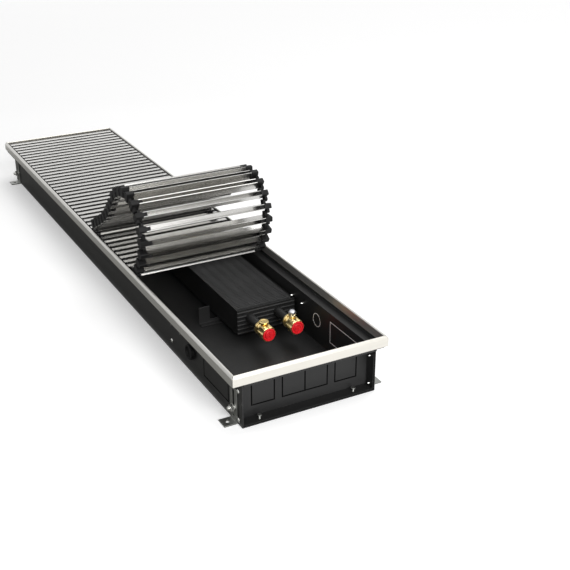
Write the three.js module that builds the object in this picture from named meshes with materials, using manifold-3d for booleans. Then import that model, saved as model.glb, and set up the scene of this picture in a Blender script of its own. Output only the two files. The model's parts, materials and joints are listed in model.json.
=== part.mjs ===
// A trench convector heater: a steel tray that is let into the floor, a water
// exchanger in one half of it, an aluminium frame round its rim, and a roll-up
// grille of cross slats that is partly folded back over itself.
// Millimetres, +Z up, +X towards the end with the valves, origin in the middle
// of the footprint on the ground.
import * as THREE from 'three';
import { mergeVertices } from 'three/addons/utils/BufferGeometryUtils.js';
import Module from 'manifold-3d';

const wasm = await Module();
wasm.setup();

// ---- clearances -------------------------------------------------------------
const GAP = 0.3; // between pieces that touch
const TURN_GAP = 0.5; // between pieces that turn or slide on each other
const PAST = 1; // how far a cutting tool runs past a face
const LAP = 0.5; // how far two joined solids run into each other

// ---- facets of round bars -----------------------------------------------------
const FINE_SIDES = 24;
const ROUND_SIDES = 16;
const SMALL_SIDES = 12;
const EYE_SIDES = 8;
const HEX_SIDES = 6;

// ---- frame ------------------------------------------------------------------
const FRAME_LENGTH = 1200;
const FRAME_WIDTH = 253;
const FRAME_HEIGHT = 90; // top of the frame above the ground
const FRAME_DEPTH = 16.3; // height of the outer face
const RIM = 5; // thickness of the profile across the rim
const RIM_LEG = 2; // thickness of the leg outside the tray's lip
const OUTER_BEVEL = 2.2;
const OUTER_BEVEL_HEIGHT = 3.6;
const INNER_BEVEL = 0.8;
const MITRE_GAP = 0.3;

// ---- tray -------------------------------------------------------------------
const SHEET = 1.2;
const END_OVERLAP = 6; // from the frame's end to the end of the tray's walls
const LEDGE_TOP = 70; // height of the ledge that carries the grille
const LEDGE_REACH = 14.7; // how far the ledge stands out past the wall
const LIP_HEIGHT = 6;
const KNOCKOUT_LINE = 1; // width of the pressed outline
const KNOCKOUT_DEPTH = 0.5;
const KNOCKOUT_BOTTOM = 19;
const KNOCKOUT_HEIGHT = 37;
const SIDE_KNOCKOUT_LENGTH = 86;
const SIDE_KNOCKOUT_FROM_END = 44; // from the tray's end to the outline
const PORT_FROM_END = 172; // round cable port, from the tray's end
const PORT_HEIGHT = 40;
const PORT_RADIUS = 10.5;

// ---- end plates -------------------------------------------------------------
const END_RECESS = 20.8; // end plate's outer face, in from the tray's end
const END_FLANGE = 19;
const SIDE_FLANGE_DROP = 8; // top of the side flanges, below the ledge
const END_SQUARE = 38;
const END_SQUARE_MIDDLES = [-66.5, -17, 21, 70.5]; // middles of the squares across the width

// ---- grille -----------------------------------------------------------------
const SLAT_PITCH = 19.4;
const SLAT_WIDTH = 9;
const SLAT_WALL = 1.2;
const SLAT_BELOW_RIM = 2;
const SLAT_END_GAP = 2.5; // between a slat's end and the frame
const ROW_END_ROOM = 4.8; // between the last unrolled slat and the frame's near bar
const BLOCK_LENGTH = 13; // plastic block in each end of a slat
const HINGE_DEPTH = 3; // hinge line below the slat's top
const LINK_FROM_BLOCK = 2; // first link, from the block's inner face
const TONGUE_WIDTH = 4.5;
const KNUCKLE_RADIUS = 2.5;
// Bend of each hinge in degrees, from the fold up over the crown and down to
// the free end that lies on the flat slats.
const BENDS = [28, 17, 12, 15, 18, 19, 19, 19, 19, 18, 16, 14, 11, 5, -2, -7, -8, -3, -2, 1, -2];

// ---- exchanger --------------------------------------------------------------
const EXCHANGER_WIDTH = 105;
const EXCHANGER_HEIGHT = 44;
const EXCHANGER_LIFT = 8; // underside above the ground
const EXCHANGER_WALL_GAP = 4.3; // from the tray's right wall
const EXCHANGER_FROM_END = 239; // near face, from the tray's near end
const EXCHANGER_FAR_ROOM = 74; // far face, from the tray's far end
const CASING = 1.2;
const FACE_RIBS = 5;
const RIB_HEIGHT = 3;
const RIB_PROUD = 1;
const RIB_MARGIN = 4; // from a rib's end to the side of the exchanger
const FIN_INSET = 1; // fins below the casing's edges
const PIPE_RADIUS = 7.5;
const PIPE_BORE = 6.5;
const PIPE_SPACING = 51;
const PIPE_OFFSET = 5; // the pair of pipes sits this far left of the middle
const PIPE_BORE_DEPTH = 30;
const RETURN_ROOM = 4; // from the far face to the start of the return bend
const PIPE_HEIGHT = 36;
const PIPE_STICKOUT = 38;
const BRACKET_FOOT = 12;
const TAB_HEIGHT = 31;
const TAB_WIDTH = 20;
const TAB_REACH = 35; // from the exchanger's left side to the tab's far edge
const BRACKET_SHEET = 1.5;
const BRACKET_FROM_NEAR = 77; // from the exchanger's near face
const BRACKET_FROM_FAR = 75; // from the exchanger's far face

// ---- valves -----------------------------------------------------------------
const BODY_RADIUS = 9;
const COLLAR_LIP = 2.5; // collar's radius past the body
const COLLAR_LENGTH = 5;
const NUT_RADIUS = 12.5;
const NUT_LENGTH = 9;
const BODY_LENGTH = 13.5;
const CAP_RADIUS = 13.3;
const CAP_LENGTH = 9.5;
const CAP_SPIGOT = 6; // how far the cap's plug goes into the nut
const CAP_RIM = 3.5; // from the cap's edge to its ring groove
const CAP_GROOVE = 2.5;
const CAP_GROOVE_DEPTH = 1;
const CROSS_LENGTH = 8;
const CROSS_WIDTH = 2;
const CROSS_DEPTH = 2;
const NUT_FLOOR = 2; // from the nut's foot to the bottom of its bore
const SPINDLE_FROM_PIPE = 13; // side branch, from the pipe's end
const PLUG_RADIUS = 8;
const PLUG_HEIGHT = 3;
const KNOB_RADIUS = 6.5;
const KNOB_HEIGHT = 10;
const KNOB_SLOT_LENGTH = 10;
const KNOB_SLOT_WIDTH = 1.2;
const KNOB_SLOT_DEPTH = 1;
const BRANCH_RADIUS = 5.5;
const BRANCH_TOP = 13.2; // above the pipe's axis

// ---- feet -------------------------------------------------------------------
const FOOT_FROM_END = 24.5; // middle of a foot, from the tray's end
const FOOT_WIDTH = 21;
const FOOT_SHEET = 2;
const FOOT_REACH = 21;
const FOOT_LEG = 57;
const SLOT_WIDTH = 6.6;
const SLOT_LENGTH = 34;
const SLOT_FROM_TOP = 3.5;
const FOOT_HOLE = 3;
const EYE_HEIGHT = 10;
const EYE_RADIUS = 2.5;
const BOLT_RADIUS = 2.9;
const BOLT_HEAD_RADIUS = 5.5;
const BOLT_HEAD = 4;
const BOLT_TAIL = 6;
const WASHER = 1.2;
const WASHER_LIP = 1; // washer's radius past the nut

// ---- small pieces -----------------------------------------------------------
const GROMMET_LIP = 2.5;
const GROMMET_REACH = 7;
const GROMMET_TAIL = 3; // barrel past the inside of the wall
const GROMMET_RIM = 2; // from the barrel's edge to the dish
const DISH_DEPTH = 3;
const JACK_RADIUS = 2.4;
const JACK_HEAD_RADIUS = 4;
const JACK_HEAD = 1.8;
const JACK_LENGTH = 9;
const JACK_ACROSS = 78; // from the middle of the width
const JACK_FROM_END = 10;

// ---- worked out from the sizes above -----------------------------------------
const FRAME_END = FRAME_LENGTH / 2;
const FRAME_SIDE = FRAME_WIDTH / 2;
const LIP_INSET = RIM_LEG + GAP; // lip's outer face, in from the frame's outer face
const LEDGE = FRAME_SIDE - LIP_INSET; // outer edge of the ledge
const WALL = LEDGE - LEDGE_REACH; // outer face of a long wall
const TRAY_END = FRAME_END - END_OVERLAP;
const END_FACE = TRAY_END - END_RECESS;
const SLAT_HALF = FRAME_SIDE - RIM - SLAT_END_GAP;
const SLAT_TOP = FRAME_HEIGHT - SLAT_BELOW_RIM;
const SLAT_HEIGHT = SLAT_TOP - LEDGE_TOP - GAP;
// middles of the slats at both ends of the unrolled row, and the first bent hinge
const ROW_LIMIT = FRAME_END - RIM - ROW_END_ROOM - SLAT_WIDTH / 2;
const FOLD_X = ROW_LIMIT - (BENDS.length - 0.5) * SLAT_PITCH;
const FLAT_SLATS = Math.floor((FOLD_X + ROW_LIMIT) / SLAT_PITCH + 0.5);
const NEAR_FACE = TRAY_END - EXCHANGER_FROM_END;
const FAR_FACE = EXCHANGER_FAR_ROOM - TRAY_END;
const EXCHANGER_RIGHT = WALL - SHEET - EXCHANGER_WALL_GAP;
const EXCHANGER_LEFT = EXCHANGER_RIGHT - EXCHANGER_WIDTH;
const EXCHANGER_TOP = EXCHANGER_LIFT + EXCHANGER_HEIGHT;
const PIPE_MIDDLE = (EXCHANGER_LEFT + EXCHANGER_RIGHT) / 2 - PIPE_OFFSET;
const PIPE_Y = [PIPE_MIDDLE - PIPE_SPACING / 2, PIPE_MIDDLE + PIPE_SPACING / 2];
const PIPE_END = NEAR_FACE + PIPE_STICKOUT;
const FOOT_X = TRAY_END - FOOT_FROM_END;
const BOLT_HEIGHT = FOOT_LEG - SLOT_FROM_TOP - SLOT_LENGTH + SLOT_WIDTH / 2;

// ---- materials --------------------------------------------------------------
const finish = (color, roughness, metalness) => ({ color, roughness, metalness });
const BLACK_COAT = finish('#2b2b2b', 0.55, 0.1);
const ALUMINIUM = finish('#c9c7c0', 0.35, 0.9);
const SLAT_METAL = finish('#bdbcb5', 0.35, 0.85);
const BLACK_PLASTIC = finish('#1c1c1c', 0.6, 0);
const ZINC = finish('#a9aaa6', 0.4, 0.85);
const BRASS = finish('#d2ae63', 0.3, 0.9);
const NICKEL = finish('#d6d6da', 0.2, 0.95);
const RED_PLASTIC = finish('#e0242b', 0.45, 0);

// ---- solids -----------------------------------------------------------------
/** Turns a closed geometry into a solid that can be joined and cut. */
function solid(geometry) {
  const bare = geometry.clone();
  for (const name of Object.keys(bare.attributes)) {
    if (name !== 'position') bare.deleteAttribute(name);
  }
  const merged = mergeVertices(bare, 1e-4);
  return new wasm.Manifold(new wasm.Mesh({
    numProp: 3,
    vertProperties: Float32Array.from(merged.attributes.position.array),
    triVerts: Uint32Array.from(merged.index.array),
  }));
}

/** A block between two opposite corners. */
function block(x, y, z) {
  const size = [x, y, z].map(([low, high]) => high - low);
  const middle = [x, y, z].map(([low, high]) => (low + high) / 2);
  return solid(new THREE.BoxGeometry(...size).translate(...middle));
}

/** An outline of [y, z] points pulled along X. */
function alongX(points, [from, to]) {
  const shape = new THREE.Shape(points.map(([y, z]) => new THREE.Vector2(y, z)));
  const pulled = new THREE.ExtrudeGeometry(shape, { depth: to - from, bevelEnabled: false });
  const turn = new THREE.Matrix4().makeBasis(
    new THREE.Vector3(0, 1, 0), new THREE.Vector3(0, 0, 1), new THREE.Vector3(1, 0, 0));
  return solid(pulled.applyMatrix4(turn).translate(from, 0, 0));
}

/** An outline of [x, z] points pulled along Y. */
function alongY(points, [from, to]) {
  const shape = new THREE.Shape(points.map(([x, z]) => new THREE.Vector2(x, z)));
  const pulled = new THREE.ExtrudeGeometry(shape, { depth: to - from, bevelEnabled: false });
  const turn = new THREE.Matrix4().makeBasis(
    new THREE.Vector3(1, 0, 0), new THREE.Vector3(0, 0, 1), new THREE.Vector3(0, -1, 0));
  return solid(pulled.applyMatrix4(turn).translate(0, to, 0));
}

/** A round bar along one axis, 'x', 'y' or 'z', through a point of the other two. */
function bar(axis, radius, [from, to], [across, up], sides = ROUND_SIDES) {
  const round = new THREE.CylinderGeometry(radius, radius, to - from, sides);
  const middle = (from + to) / 2;
  if (axis === 'x') round.rotateZ(Math.PI / 2).translate(middle, across, up);
  if (axis === 'y') round.translate(across, middle, up);
  if (axis === 'z') round.rotateX(Math.PI / 2).translate(across, up, middle);
  return solid(round);
}

const join = (...parts) => parts.reduce((whole, part) => whole.add(part));
const cut = (whole, ...tools) => tools.reduce((left, tool) => left.subtract(tool), whole);

const model = new THREE.Group();
model.name = 'trench_convector';

/** Puts a finished solid into the model as one named mesh. */
function place(name, shape, look) {
  const { vertProperties, triVerts } = shape.getMesh();
  const geometry = new THREE.BufferGeometry();
  geometry.setAttribute('position', new THREE.BufferAttribute(vertProperties, 3));
  geometry.setIndex(new THREE.BufferAttribute(triVerts, 1));
  geometry.computeVertexNormals();
  const mesh = new THREE.Mesh(geometry, new THREE.MeshStandardMaterial(look));
  mesh.name = name;
  model.add(mesh);
  return mesh;
}

const MIRROR_X = new THREE.Matrix4().makeScale(-1, 1, 1);
const MIRROR_Y = new THREE.Matrix4().makeScale(1, -1, 1);
const mirrored = (shape, matrix) => shape.transform(matrix.toArray());

// ---- tray -------------------------------------------------------------------
/** The pressed outline of a knock-out: a shallow rectangular groove. */
function outlineX(face, inward, [from, to]) {
  const low = KNOCKOUT_BOTTOM;
  const high = KNOCKOUT_BOTTOM + KNOCKOUT_HEIGHT;
  const y = [face, face + inward * KNOCKOUT_DEPTH].sort((a, b) => a - b);
  const ring = block([from, to], y, [low, high]);
  const line = KNOCKOUT_LINE;
  return cut(ring, block([from + line, to - line], [y[0] - PAST, y[1] + PAST], [low + line, high - line]));
}

function tray() {
  const edge = WALL - SHEET;
  const under = LEDGE_TOP - SHEET;
  const lip = LEDGE_TOP + LIP_HEIGHT;
  const half = [[WALL, 0], [WALL, under], [LEDGE, under], [LEDGE, lip], [LEDGE - SHEET, lip],
    [LEDGE - SHEET, LEDGE_TOP], [edge, LEDGE_TOP], [edge, SHEET]];
  const left = half.map(([y, z]) => [-y, z]).reverse();
  const shell = alongX([...half, ...left], [-TRAY_END, TRAY_END]);
  const outlineEnd = TRAY_END - SIDE_KNOCKOUT_FROM_END;
  const span = [outlineEnd - SIDE_KNOCKOUT_LENGTH, outlineEnd];
  const portX = TRAY_END - PORT_FROM_END;
  const port = bar('y', PORT_RADIUS, [-WALL - PAST, -WALL + SHEET + PAST], [portX, PORT_HEIGHT]);
  const slots = [-1, 1].map((side) => outlineX(side * WALL, -side, span));
  const jacks = [-1, 1].flatMap((end) => [-1, 1].map((side) => bar('z', JACK_RADIUS + GAP,
    [-PAST, SHEET + PAST], [end * (TRAY_END - JACK_FROM_END), side * JACK_ACROSS], SMALL_SIDES)));
  const bolts = [-1, 1].flatMap((end) => [-1, 1].map((side) => bar('y', BOLT_RADIUS + GAP,
    [side * WALL - SHEET - PAST, side * WALL + SHEET + PAST], [end * FOOT_X, BOLT_HEIGHT], SMALL_SIDES)));
  place('tray', cut(shell, port, ...slots, ...jacks, ...bolts), BLACK_COAT);
}

// ---- end plates -------------------------------------------------------------
/** One end plate, made for the +X end, with flanges at its foot, sides and top. */
function endPlate() {
  const half = WALL - SHEET - GAP;
  const foot = SHEET + GAP;
  const back = END_FACE - SHEET;
  const top = [LEDGE_TOP - SHEET, LEDGE_TOP];
  const flangeEnd = END_FACE + END_FLANGE;
  const lipOut = FRAME_END - LIP_INSET;
  const plate = block([back, END_FACE], [-half, half], [foot, LEDGE_TOP]);
  const bottom = block([back, flangeEnd], [-half, half], [foot, foot + SHEET]);
  const sides = [-1, 1].map((side) => {
    const y = [side * half, side * (half - SHEET)].sort((a, b) => a - b);
    return block([back, flangeEnd], y, [foot, LEDGE_TOP - SIDE_FLANGE_DROP]);
  });
  const ledge = block([back, lipOut], [-half, half], top);
  const lip = block([lipOut - SHEET, lipOut], [-half, half], [top[0], LEDGE_TOP + LIP_HEIGHT]);
  const squares = END_SQUARE_MIDDLES.map((y) => {
    const span = [y - END_SQUARE / 2, y + END_SQUARE / 2];
    const z = [KNOCKOUT_BOTTOM, KNOCKOUT_BOTTOM + KNOCKOUT_HEIGHT];
    const line = KNOCKOUT_LINE;
    const ring = block([END_FACE - KNOCKOUT_DEPTH, END_FACE + PAST], span, z);
    return cut(ring, block([back, END_FACE + 2 * PAST], [span[0] + line, span[1] - line],
      [z[0] + line, z[1] - line]));
  });
  const jacks = [-1, 1].map((side) => bar('z', JACK_RADIUS + GAP, [foot - PAST, foot + SHEET + PAST],
    [TRAY_END - JACK_FROM_END, side * JACK_ACROSS], SMALL_SIDES));
  return cut(join(plate, bottom, ...sides, ledge, lip), ...squares, ...jacks);
}

// ---- frame ------------------------------------------------------------------
/** Section of the frame as [in from the outer face, height]: an angle that sits on the lip. */
function frameSection() {
  const foot = FRAME_HEIGHT - FRAME_DEPTH;
  const roof = LEDGE_TOP + LIP_HEIGHT + GAP;
  return [[0, foot], [RIM_LEG, foot], [RIM_LEG, roof], [RIM, roof], [RIM, FRAME_HEIGHT - INNER_BEVEL],
    [RIM - INNER_BEVEL, FRAME_HEIGHT], [OUTER_BEVEL, FRAME_HEIGHT], [0, FRAME_HEIGHT - OUTER_BEVEL_HEIGHT]];
}

/** Outline of a bar of the rim in plan, with both ends cut at 45 degrees. */
function mitre(long, wide) {
  const far = long / 2 - MITRE_GAP / Math.SQRT2;
  const deep = 2 * RIM;
  const edge = -wide / 2;
  return [[-far, edge], [far, edge], [far - deep, edge + deep], [deep - far, edge + deep]];
}

function frame() {
  const height = [FRAME_HEIGHT - FRAME_DEPTH - PAST, FRAME_HEIGHT + PAST];
  const wedge = (long, wide) => {
    const shape = new THREE.Shape(mitre(long, wide).map(([x, y]) => new THREE.Vector2(x, y)));
    const depth = height[1] - height[0];
    return solid(new THREE.ExtrudeGeometry(shape, { depth, bevelEnabled: false })
      .translate(0, 0, height[0]));
  };
  const section = frameSection();
  const side = alongX(section.map(([u, z]) => [u - FRAME_SIDE, z]), [-FRAME_END, FRAME_END]);
  const left = side.intersect(wedge(FRAME_LENGTH, FRAME_WIDTH));
  const cross = alongX(section.map(([u, z]) => [u - FRAME_END, z]), [-FRAME_SIDE, FRAME_SIDE]);
  const quarter = new THREE.Matrix4().makeRotationZ(Math.PI / 2);
  const end = cross.intersect(wedge(FRAME_WIDTH, FRAME_LENGTH)).transform(quarter.toArray());
  place('frame_left', left, ALUMINIUM);
  place('frame_right', mirrored(left, MIRROR_Y), ALUMINIUM);
  place('frame_near', end, ALUMINIUM);
  place('frame_far', mirrored(end, MIRROR_X), ALUMINIUM);
}

// ---- grille -----------------------------------------------------------------
/** A slat across the tray, its top at z = 0 and its middle at x: an inverted channel. */
function slat(x) {
  const half = SLAT_WIDTH / 2;
  const inner = half - SLAT_WALL;
  const channel = alongY([[x - half, -SLAT_HEIGHT], [x - inner, -SLAT_HEIGHT],
    [x - inner, -SLAT_WALL], [x + inner, -SLAT_WALL], [x + inner, -SLAT_HEIGHT],
    [x + half, -SLAT_HEIGHT], [x + half, 0], [x - half, 0]], [-SLAT_HALF, SLAT_HALF]);
  const ends = [-1, 1].map((side) => {
    const y = [side * SLAT_HALF, side * (SLAT_HALF - BLOCK_LENGTH)].sort((a, b) => a - b);
    return block([x - half, x + half], y, [-SLAT_HEIGHT, -SLAT_WALL / 2]);
  });
  return join(channel, ...ends);
}

/** A flat link with a round eye at its tip, at the inner or the outer place in the joint. */
function knuckle(from, to, layer) {
  const low = SLAT_HALF - BLOCK_LENGTH + LINK_FROM_BLOCK + layer * (TONGUE_WIDTH + TURN_GAP);
  return [-1, 1].map((side) => {
    const y = [side * low, side * (low + TONGUE_WIDTH)].sort((a, b) => a - b);
    const x = [from, to].sort((a, b) => a - b);
    const z = [-HINGE_DEPTH - KNUCKLE_RADIUS, -HINGE_DEPTH + KNUCKLE_RADIUS];
    return join(block(x, y, z), bar('y', KNUCKLE_RADIUS, y, [to, -HINGE_DEPTH], EYE_SIDES));
  }).reduce((whole, part) => whole.add(part));
}

function grille() {
  const flat = [];
  const firstX = FOLD_X - SLAT_PITCH / 2;
  for (let i = 0; i < FLAT_SLATS; i += 1) flat.push(slat(firstX - i * SLAT_PITCH));
  const lastX = firstX - (FLAT_SLATS - 1) * SLAT_PITCH;
  const rods = knuckle(lastX, FOLD_X, 0);
  const bed = join(...flat, rods).translate([0, 0, SLAT_TOP]);
  place('grille_flat_slats', bed, SLAT_METAL);

  const loose = join(slat(SLAT_PITCH / 2), knuckle(SLAT_PITCH / 2, 0, 1),
    knuckle(SLAT_PITCH / 2, SLAT_PITCH, 0)).translate([0, 0, HINGE_DEPTH]);
  const last = join(slat(SLAT_PITCH / 2), knuckle(SLAT_PITCH / 2, 0, 1))
    .translate([0, 0, HINGE_DEPTH]);
  let carrier = model;
  BENDS.forEach((bend, i) => {
    const hinge = new THREE.Group();
    if (i === 0) hinge.position.set(FOLD_X, 0, SLAT_TOP - HINGE_DEPTH);
    else hinge.position.set(SLAT_PITCH, 0, 0);
    hinge.rotation.y = -THREE.MathUtils.degToRad(bend);
    const name = `grille_slat_${FLAT_SLATS + 1 + i}`;
    const mesh = place(name, i === BENDS.length - 1 ? last : loose, SLAT_METAL);
    hinge.add(mesh);
    carrier.add(hinge);
    carrier = hinge;
  });
}

// ---- exchanger --------------------------------------------------------------
/** One pressed end sheet of the exchanger, its outer face at x. */
function endSheet(x, outward) {
  const span = [x, x - outward * CASING].sort((a, b) => a - b);
  const sheet = block(span, [EXCHANGER_LEFT, EXCHANGER_RIGHT], [EXCHANGER_LIFT, EXCHANGER_TOP]);
  const pitch = EXCHANGER_HEIGHT / FACE_RIBS;
  const ribs = Array.from({ length: FACE_RIBS }, (_, i) => {
    const middle = EXCHANGER_LIFT + (i + 0.5) * pitch;
    const rib = [x - outward * LAP, x + outward * RIB_PROUD].sort((a, b) => a - b);
    return block(rib, [EXCHANGER_LEFT + RIB_MARGIN, EXCHANGER_RIGHT - RIB_MARGIN],
      [middle - RIB_HEIGHT / 2, middle + RIB_HEIGHT / 2]);
  });
  const reach = CASING + PAST;
  const holes = PIPE_Y.map((y) => bar('x', PIPE_RADIUS + GAP, [x - reach, x + reach],
    [y, PIPE_HEIGHT]));
  return cut(join(sheet, ...ribs), ...holes);
}

function exchanger() {
  const inFar = FAR_FACE + CASING + GAP;
  const inNear = NEAR_FACE - CASING - GAP;
  place('exchanger_near_sheet', endSheet(NEAR_FACE, 1), BLACK_COAT);
  place('exchanger_far_sheet', endSheet(FAR_FACE, -1), BLACK_COAT);
  const height = [EXCHANGER_LIFT, EXCHANGER_TOP];
  place('exchanger_left_side',
    block([inFar, inNear], [EXCHANGER_LEFT, EXCHANGER_LEFT + CASING], height), BLACK_COAT);
  place('exchanger_right_side',
    block([inFar, inNear], [EXCHANGER_RIGHT - CASING, EXCHANGER_RIGHT], height), BLACK_COAT);
  const packSide = [EXCHANGER_LEFT + CASING + GAP, EXCHANGER_RIGHT - CASING - GAP];
  const pack = block([inFar, inNear], packSide, [height[0] + FIN_INSET, height[1] - FIN_INSET]);
  const bores = PIPE_Y.map((y) => bar('x', PIPE_RADIUS + GAP, [inFar - PAST, inNear + PAST],
    [y, PIPE_HEIGHT]));
  place('exchanger_fin_pack', cut(pack, ...bores), BLACK_COAT);

  // the pipe runs in along one bore, round the bend at the far end and back
  const turn = FAR_FACE - RETURN_ROOM;
  const ring = new THREE.Shape().absarc(0, 0, PIPE_RADIUS, 0, Math.PI * 2);
  const arc = new THREE.EllipseCurve(0, 0, PIPE_SPACING / 2, PIPE_SPACING / 2,
    Math.PI / 2, Math.PI * 1.5);
  const route = new THREE.CatmullRomCurve3(arc.getPoints(10)
    .map(({ x, y }) => new THREE.Vector3(turn + x, PIPE_MIDDLE + y, PIPE_HEIGHT)));
  const bend = solid(new THREE.ExtrudeGeometry(ring, {
    steps: 12, curveSegments: 8, extrudePath: route,
  }));
  const runs = PIPE_Y.map((y) => bar('x', PIPE_RADIUS, [turn - LAP, PIPE_END], [y, PIPE_HEIGHT]));
  const bore = PIPE_Y.map((y) => bar('x', PIPE_BORE, [PIPE_END - PIPE_BORE_DEPTH, PIPE_END + PAST],
    [y, PIPE_HEIGHT], SMALL_SIDES));
  place('exchanger_pipe', cut(join(bend, ...runs), ...bore), BLACK_COAT);

  const brackets = { near: NEAR_FACE - BRACKET_FROM_NEAR, far: FAR_FACE + BRACKET_FROM_FAR };
  for (const [end, x] of Object.entries(brackets)) {
    const floor = SHEET + GAP;
    const span = [EXCHANGER_LEFT - TAB_REACH, EXCHANGER_RIGHT];
    const foot = block([x, x + BRACKET_FOOT], span, [floor, floor + BRACKET_SHEET]);
    const rise = block([x, x + BRACKET_SHEET], span, [floor, EXCHANGER_LIFT - GAP]);
    const seat = block([x, x + BRACKET_FOOT], [EXCHANGER_LEFT, EXCHANGER_RIGHT],
      [EXCHANGER_LIFT - GAP - BRACKET_SHEET, EXCHANGER_LIFT - GAP]);
    const tab = block([x, x + BRACKET_SHEET], [span[0], span[0] + TAB_WIDTH],
      [floor, floor + TAB_HEIGHT]);
    place(`exchanger_bracket_${end}`, join(foot, rise, seat, tab), BLACK_COAT);
  }
}

// ---- valves -----------------------------------------------------------------
/** A cap on a valve: a disc with a plug behind it, a ring groove and a sunk cross in front. */
function cap(start, [y, z]) {
  const face = start + CAP_LENGTH;
  const disc = bar('x', CAP_RADIUS, [start, face], [y, z], FINE_SIDES);
  const spigot = bar('x', PIPE_BORE - TURN_GAP, [start - CAP_SPIGOT, start + LAP], [y, z],
    SMALL_SIDES);
  const outer = CAP_RADIUS - CAP_RIM;
  const groove = cut(
    bar('x', outer, [face - CAP_GROOVE_DEPTH, face + PAST], [y, z], FINE_SIDES),
    bar('x', outer - CAP_GROOVE, [start, face + 2 * PAST], [y, z], FINE_SIDES));
  const arm = (middle, length) => [middle - length / 2, middle + length / 2];
  const depth = [face - CROSS_DEPTH, face + PAST];
  const cross = join(block(depth, arm(y, CROSS_LENGTH), arm(z, CROSS_WIDTH)),
    block(depth, arm(y, CROSS_WIDTH), arm(z, CROSS_LENGTH)));
  return cut(join(disc, spigot), groove, cross);
}

function valves() {
  const start = PIPE_END + GAP;
  const bodyEnd = start + BODY_LENGTH;
  PIPE_Y.forEach((y, i) => {
    const side = i === 0 ? 'left' : 'right';
    const branchX = PIPE_END + SPINDLE_FROM_PIPE;
    const branchTop = PIPE_HEIGHT + BRANCH_TOP;
    const axis = [y, PIPE_HEIGHT];
    const collar = bar('x', BODY_RADIUS + COLLAR_LIP, [start, start + COLLAR_LENGTH], axis);
    const body = bar('x', BODY_RADIUS, [start, bodyEnd + NUT_LENGTH], axis);
    const branch = bar('z', BRANCH_RADIUS, [PIPE_HEIGHT, branchTop], [branchX, y]);
    const nut = bar('x', NUT_RADIUS, [bodyEnd, bodyEnd + NUT_LENGTH], axis, HEX_SIDES);
    const bore = bar('x', PIPE_BORE, [bodyEnd + NUT_FLOOR, bodyEnd + NUT_LENGTH + PAST], axis,
      SMALL_SIDES);
    place(`valve_body_${side}`, cut(join(collar, body, branch, nut), bore), BRASS);
    place(`valve_cap_${side}`, cap(bodyEnd + NUT_LENGTH + GAP, axis), RED_PLASTIC);

    const seat = branchTop + GAP;
    if (side === 'left') {
      const disc = bar('z', PLUG_RADIUS, [seat, seat + PLUG_HEIGHT], [branchX, y], FINE_SIDES);
      place('bleed_plug', disc, BRASS);
    } else {
      const top = seat + KNOB_HEIGHT;
      const knob = bar('z', KNOB_RADIUS, [seat, top], [branchX, y]);
      const slot = block([branchX - KNOB_SLOT_LENGTH / 2, branchX + KNOB_SLOT_LENGTH / 2],
        [y - KNOB_SLOT_WIDTH / 2, y + KNOB_SLOT_WIDTH / 2], [top - KNOB_SLOT_DEPTH, top + PAST]);
      place('vent_knob', cut(knob, slot), NICKEL);
    }
  });
}

// ---- feet -------------------------------------------------------------------
/** The slotted foot of the near left corner: a leg on the wall and a plate on the ground. */
function foot() {
  const x = [FOOT_X - FOOT_WIDTH / 2, FOOT_X + FOOT_WIDTH / 2];
  const face = -WALL - GAP;
  const legOut = face - FOOT_SHEET;
  const leg = block(x, [legOut, face], [0, FOOT_LEG]);
  const plate = block(x, [legOut - FOOT_REACH + FOOT_SHEET, face], [0, FOOT_SHEET]);
  const slotTop = FOOT_LEG - SLOT_FROM_TOP;
  const reach = [legOut - PAST, face + PAST];
  const radius = SLOT_WIDTH / 2;
  const low = slotTop - SLOT_LENGTH + radius;
  const slot = join(
    block([FOOT_X - radius, FOOT_X + radius], reach, [low, slotTop - radius]),
    bar('y', radius, reach, [FOOT_X, low], SMALL_SIDES),
    bar('y', radius, reach, [FOOT_X, slotTop - radius], SMALL_SIDES));
  const eye = bar('y', EYE_RADIUS, reach, [FOOT_X, EYE_HEIGHT], SMALL_SIDES);
  const hole = bar('z', FOOT_HOLE, [-PAST, FOOT_SHEET + PAST],
    [FOOT_X, legOut - (FOOT_REACH - FOOT_SHEET) / 2]);
  return cut(join(leg, plate), slot, eye, hole);
}

/** The stud that clamps a foot to the wall, flush inside, with a washer and a nut outside. */
function clampBolt() {
  const outer = -WALL - GAP - FOOT_SHEET - GAP;
  const at = [FOOT_X, BOLT_HEIGHT];
  const nutFoot = outer - WASHER;
  const washer = bar('y', BOLT_HEAD_RADIUS + WASHER_LIP, [nutFoot, outer], at);
  const nut = bar('y', BOLT_HEAD_RADIUS, [nutFoot - BOLT_HEAD, nutFoot + LAP], at, HEX_SIDES);
  const shank = bar('y', BOLT_RADIUS, [outer - BOLT_HEAD - BOLT_TAIL, -WALL + SHEET], at,
    SMALL_SIDES);
  return join(washer, nut, shank);
}

/** The jack screw that stands in the end plate's foot flange. */
function jackScrew() {
  const at = [TRAY_END - JACK_FROM_END, JACK_ACROSS];
  const top = JACK_LENGTH + GAP;
  return join(bar('z', JACK_RADIUS, [GAP, top], at, SMALL_SIDES),
    bar('z', JACK_HEAD_RADIUS, [top - JACK_HEAD, top], at, SMALL_SIDES));
}

function corners() {
  const leg = foot();
  const bolt = clampBolt();
  const jack = jackScrew();
  for (const [end, endName] of [[1, 'near'], [-1, 'far']]) {
    for (const [side, sideName] of [[-1, 'left'], [1, 'right']]) {
      const turn = new THREE.Matrix4().makeScale(end, -side, 1);
      const jackTurn = new THREE.Matrix4().makeScale(end, side, 1);
      place(`foot_${endName}_${sideName}`, mirrored(leg, turn), ZINC);
      place(`foot_bolt_${endName}_${sideName}`, mirrored(bolt, turn), ZINC);
      place(`jack_screw_${endName}_${sideName}`, mirrored(jack, jackTurn), ZINC);
    }
  }
}

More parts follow.
